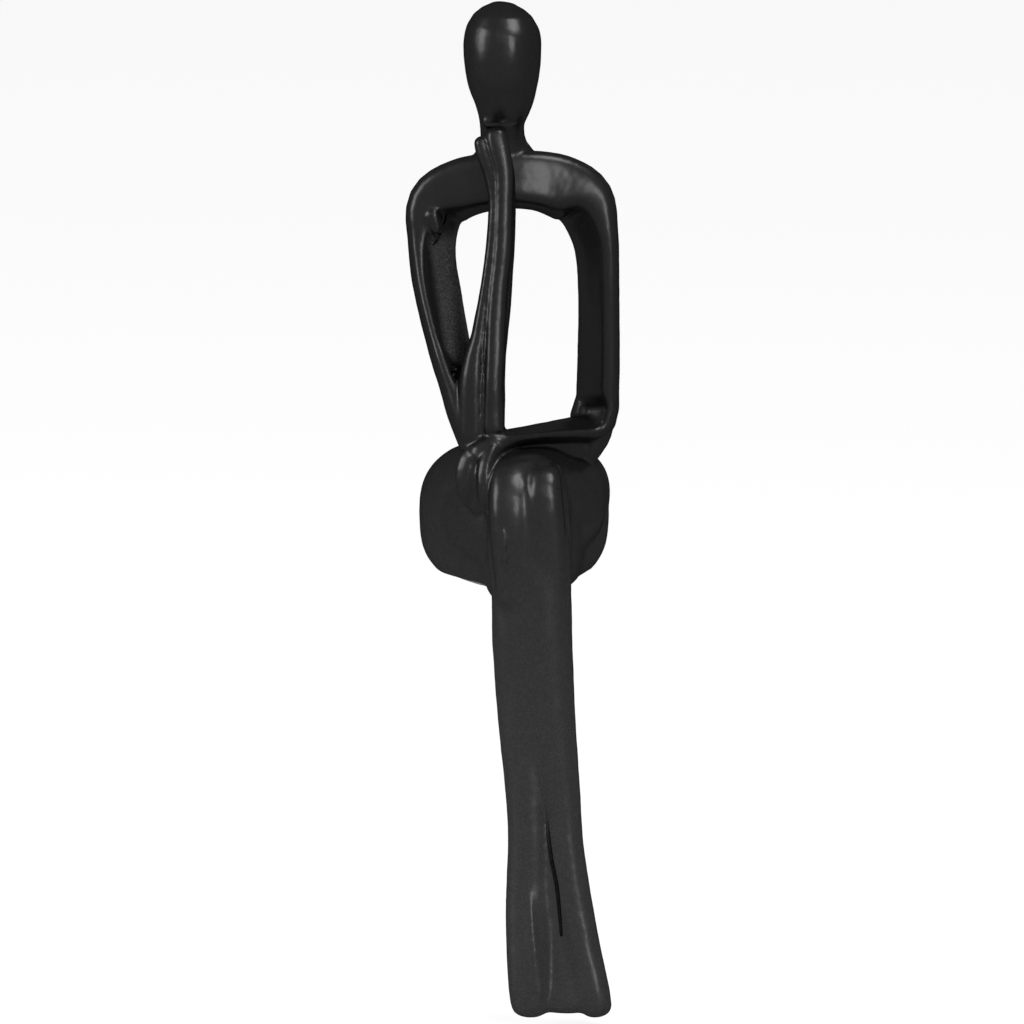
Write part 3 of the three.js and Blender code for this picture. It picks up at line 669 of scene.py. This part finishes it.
def satin_resin():
    """Satin black paint on cast resin: fine sandy speckle, orange peel, a few pits and one rough wall. The
    lighter greys of the legs are painted light, and those of the rough wall are partly painted light.
    """
    resin = Finish(bpy.data.materials.new("satin_black_resin"))
    x, y, z = resin.axes()
    wall_edge = x - WALL_X + (z - WALL_Z) * WALL_LEAN
    wall = (resin.step(wall_edge, *WALL_SIDE) * resin.step(z, *WALL_FOOT) * resin.step(z, *WALL_TOP)
            * resin.step(x, *WALL_INNER) * resin.step(y, *WALL_FRONT))
    legs = resin.step(z, *LEGS) ** 0.5
    speckle = resin.noise(scale=2300, detail=3, roughness=0.65)
    grains = resin.step(speckle, 0.42, 0.68)
    pits = resin.step(resin.cells(scale=260), 0.10, 0.05) * resin.step(resin.noise(scale=55), 0.60, 0.66)
    facing = resin.node("ShaderNodeLayerWeight", {}, {"Blend": 0.5}, "Facing")
    colour = resin.mix(grains, *BLACK)
    # the legs get lighter greys: painted light that brightens them towards the feet
    colour = resin.mix(legs, colour, resin.mix(grains, *PAINTED_LIGHT_LEG_GREYS))
    # the rough wall gets lighter greys: partly its unpolished grain, partly painted light
    colour = resin.mix(wall, colour, resin.mix(grains, *ROUGH_WALL_PAINTED_LIGHT_GREYS))
    haze = resin.noise(scale=240, detail=3)
    roughness = 0.42 + 0.1 * haze + 0.08 * grains + 0.2 * wall + 0.12 * pits + 0.1 * legs
    gloss = GLOSS * (1 - facing) ** GLOSS_FALL * (1 - 0.2 * legs) * (1 - 0.5 * wall) * (1.06 - 0.2 * grains)
    peel = resin.bump(resin.noise(scale=620), distance=0.00004, strength=0.4)
    sand = resin.bump(speckle, distance=0.00001, strength=0.6, normal=peel)
    rough = resin.noise(scale=900, detail=4, roughness=0.7) * wall
    rough_wall = resin.bump(rough, distance=0.0006, strength=0.8, normal=sand)
    pitted = resin.bump(1 - pits, distance=0.0002, strength=0.7, normal=rough_wall)
    return resin.close(Base_Color=colour, Roughness=roughness, Normal=pitted, Specular_IOR_Level=0.0,
                       Coat_Weight=gloss, Coat_Roughness=0.3)


def bright_steel():
    steel = Finish(bpy.data.materials.new("ground_steel"))
    lines = steel.noise(scale=900, detail=3)
    scratch = steel.noise(scale=2600)
    colour = steel.mix(lines, (0.42, 0.43, 0.45, 1), (0.55, 0.56, 0.58, 1))
    return steel.close(Base_Color=colour, Roughness=0.28 + 0.16 * scratch, Metallic=1.0,
                       Normal=steel.bump(scratch, distance=0.00003, strength=0.4))


def cast_iron():
    iron = Finish(bpy.data.materials.new("cast_iron"))
    grains = iron.noise(scale=1400, detail=4, roughness=0.6)
    colour = iron.mix(iron.step(grains, 0.35, 0.7), (0.06, 0.058, 0.056, 1), (0.12, 0.11, 0.1, 1))
    return iron.close(Base_Color=colour, Roughness=0.55 + 0.2 * grains, Metallic=0.9,
                      Normal=iron.bump(grains, distance=0.0002, strength=0.8))


def black_felt():
    felt = Finish(bpy.data.materials.new("black_felt"))
    fibres = felt.noise(scale=3200, detail=5, roughness=0.75)
    clumps = felt.noise(scale=500, detail=3)
    colour = felt.mix(fibres, (0.012, 0.012, 0.013, 1), (0.035, 0.035, 0.037, 1))
    return felt.close(Base_Color=colour, Roughness=0.92 + 0.05 * clumps,
                      Normal=felt.bump(fibres + clumps, distance=0.0002, strength=0.9), Sheen_Weight=0.3)


resin = satin_resin()
steel = bright_steel()
iron = cast_iron()
felt = black_felt()


def dress(piece, material, *nodes, slot):
    piece.data.materials.clear()
    piece.data.materials.append(material)
    activate(piece)
    bpy.ops.object.shade_smooth_by_angle(angle=SMOOTH_ANGLE)
    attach(piece, "root")
    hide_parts(*nodes)


for node, casting in castings.items():
    dress(whole(casting), resin, node, slot="resin")

# The felt pad

PAD_INSET = 2
PAD_SQUARES = (1.05, 1.05)

pad = limb("felt_pad", grown(HIPS, -PAD_INSET), facing=UP, domes=(4, None), squares=PAD_SQUARES)
keep_side(pad, (0, 0, FELT_TOP), -UP)
keep_side(pad, (0, 0, 0), UP)
keep_side(pad, (0, SEAT_FRONT + PAD_INSET, 0), -FRONT)
dress(pad, felt, "seat_felt", slot="felt")

# Sealed metal parts keep their CAD shape

for node, material in (("neck_dowel", steel), ("arm_dowel", steel), ("lap_elbow_dowel", steel),
                       ("forearm_wire", steel), ("over_leg_wire", steel), ("under_leg_wire", steel),
                       ("ballast_slug", iron)):
    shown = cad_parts[node]
    if not shown.material_slots:
        shown.data.materials.append(material)
    for slot in shown.material_slots:
        slot.material = material

# Studio

SOFTBOXES = [  # name, azimuth and elevation, distance, width and height in metres, radiance
    ("left_softbox", -75, 25, 1.5, 0.6, 1.0, 20),
    ("right_strip", 26, 22, 1.5, 0.22, 0.85, 27),
    ("overhead_softbox", 62, 62, 1.4, 0.54, 0.54, 26),
    ("front_softbox", 4, 40, 1.6, 0.8, 0.6, 1.4),
]
LAMP_AIM = Vector((0, 0, 0.03))
AMBIENT = 0.15
BACKDROP = 1.0
FLOOR_LEVEL = -0.1185
FLOOR_SIZE = 120
FLOOR_GREY = 0.85
FLOOR_ROUGHNESS = 0.9
FLOOR_GLOW = 0.9  # share of the floor's white that the background's rays see


def direction(azimuth, elevation):
    turn, rise = math.radians(azimuth), math.radians(elevation)
    return Vector((math.sin(turn) * math.cos(rise), -math.cos(turn) * math.cos(rise), math.sin(rise)))


for name, azimuth, elevation, distance, width, height, radiance in SOFTBOXES:
    data = bpy.data.lights.new(name, "AREA")
    data.shape = "RECTANGLE"
    data.size, data.size_y = width, height
    data.energy = radiance * math.pi * width * height
    lamp = bpy.data.objects.new(name, data)
    away = direction(azimuth, elevation)
    lamp.location = away * distance + LAMP_AIM
    lamp.rotation_euler = away.to_track_quat("Z", "Y").to_euler()
    lamp.visible_camera = False
    bpy.context.collection.objects.link(lamp)


world = Finish(bpy.data.worlds.new("studio"))
brightness = world.node("ShaderNodeMapRange", {}, {
    "Value": world.background_rays(), "To Min": AMBIENT, "To Max": BACKDROP})
bpy.context.scene.world = world.show(
    world.node("ShaderNodeBackground", {}, {"Color": grey(1), "Strength": brightness}),
    "ShaderNodeOutputWorld")

deselect()
bpy.ops.mesh.primitive_plane_add(size=FLOOR_SIZE, location=(0, 0, FLOOR_LEVEL))
floor = bpy.context.view_layer.objects.active
floor.name = floor.data.name = "floor"
pale = Finish(bpy.data.materials.new("pale_floor"))
paint = pale.node("ShaderNodeBsdfPrincipled", {}, {
    "Base Color": grey(FLOOR_GREY), "Roughness": FLOOR_ROUGHNESS})
glow = pale.node("ShaderNodeEmission", {}, {"Strength": BACKDROP})
floor.data.materials.append(pale.show(pale.node("ShaderNodeMixShader", {}, {
    0: pale.background_rays() * FLOOR_GLOW, 1: paint, 2: glow})))

# Camera

CAMERA_DISTANCE = 6.0
CAMERA_ELEVATION = 10
SENSOR = 36
VIEW_WIDTH = 0.2847  # of the picture, at the figure
AIM_X = -0.556 * MM
AIM_UP = 16.99 * MM
VIEW_END = 200

camera = bpy.data.objects.new("camera", bpy.data.cameras.new("camera"))
camera.data.sensor_width = SENSOR
camera.data.lens = SENSOR * CAMERA_DISTANCE / VIEW_WIDTH
camera.data.clip_end = VIEW_END
tilt = math.radians(CAMERA_ELEVATION)
aim = Vector((AIM_X, 0, 0)) + Vector((0, math.sin(tilt), math.cos(tilt))) * AIM_UP
camera.location = aim + direction(0, CAMERA_ELEVATION) * CAMERA_DISTANCE
camera.rotation_euler = Euler((math.radians(90) - tilt, 0, 0))
bpy.context.collection.objects.link(camera)
bpy.context.scene.camera = camera
bpy.context.scene.view_settings.view_transform = "Standard"
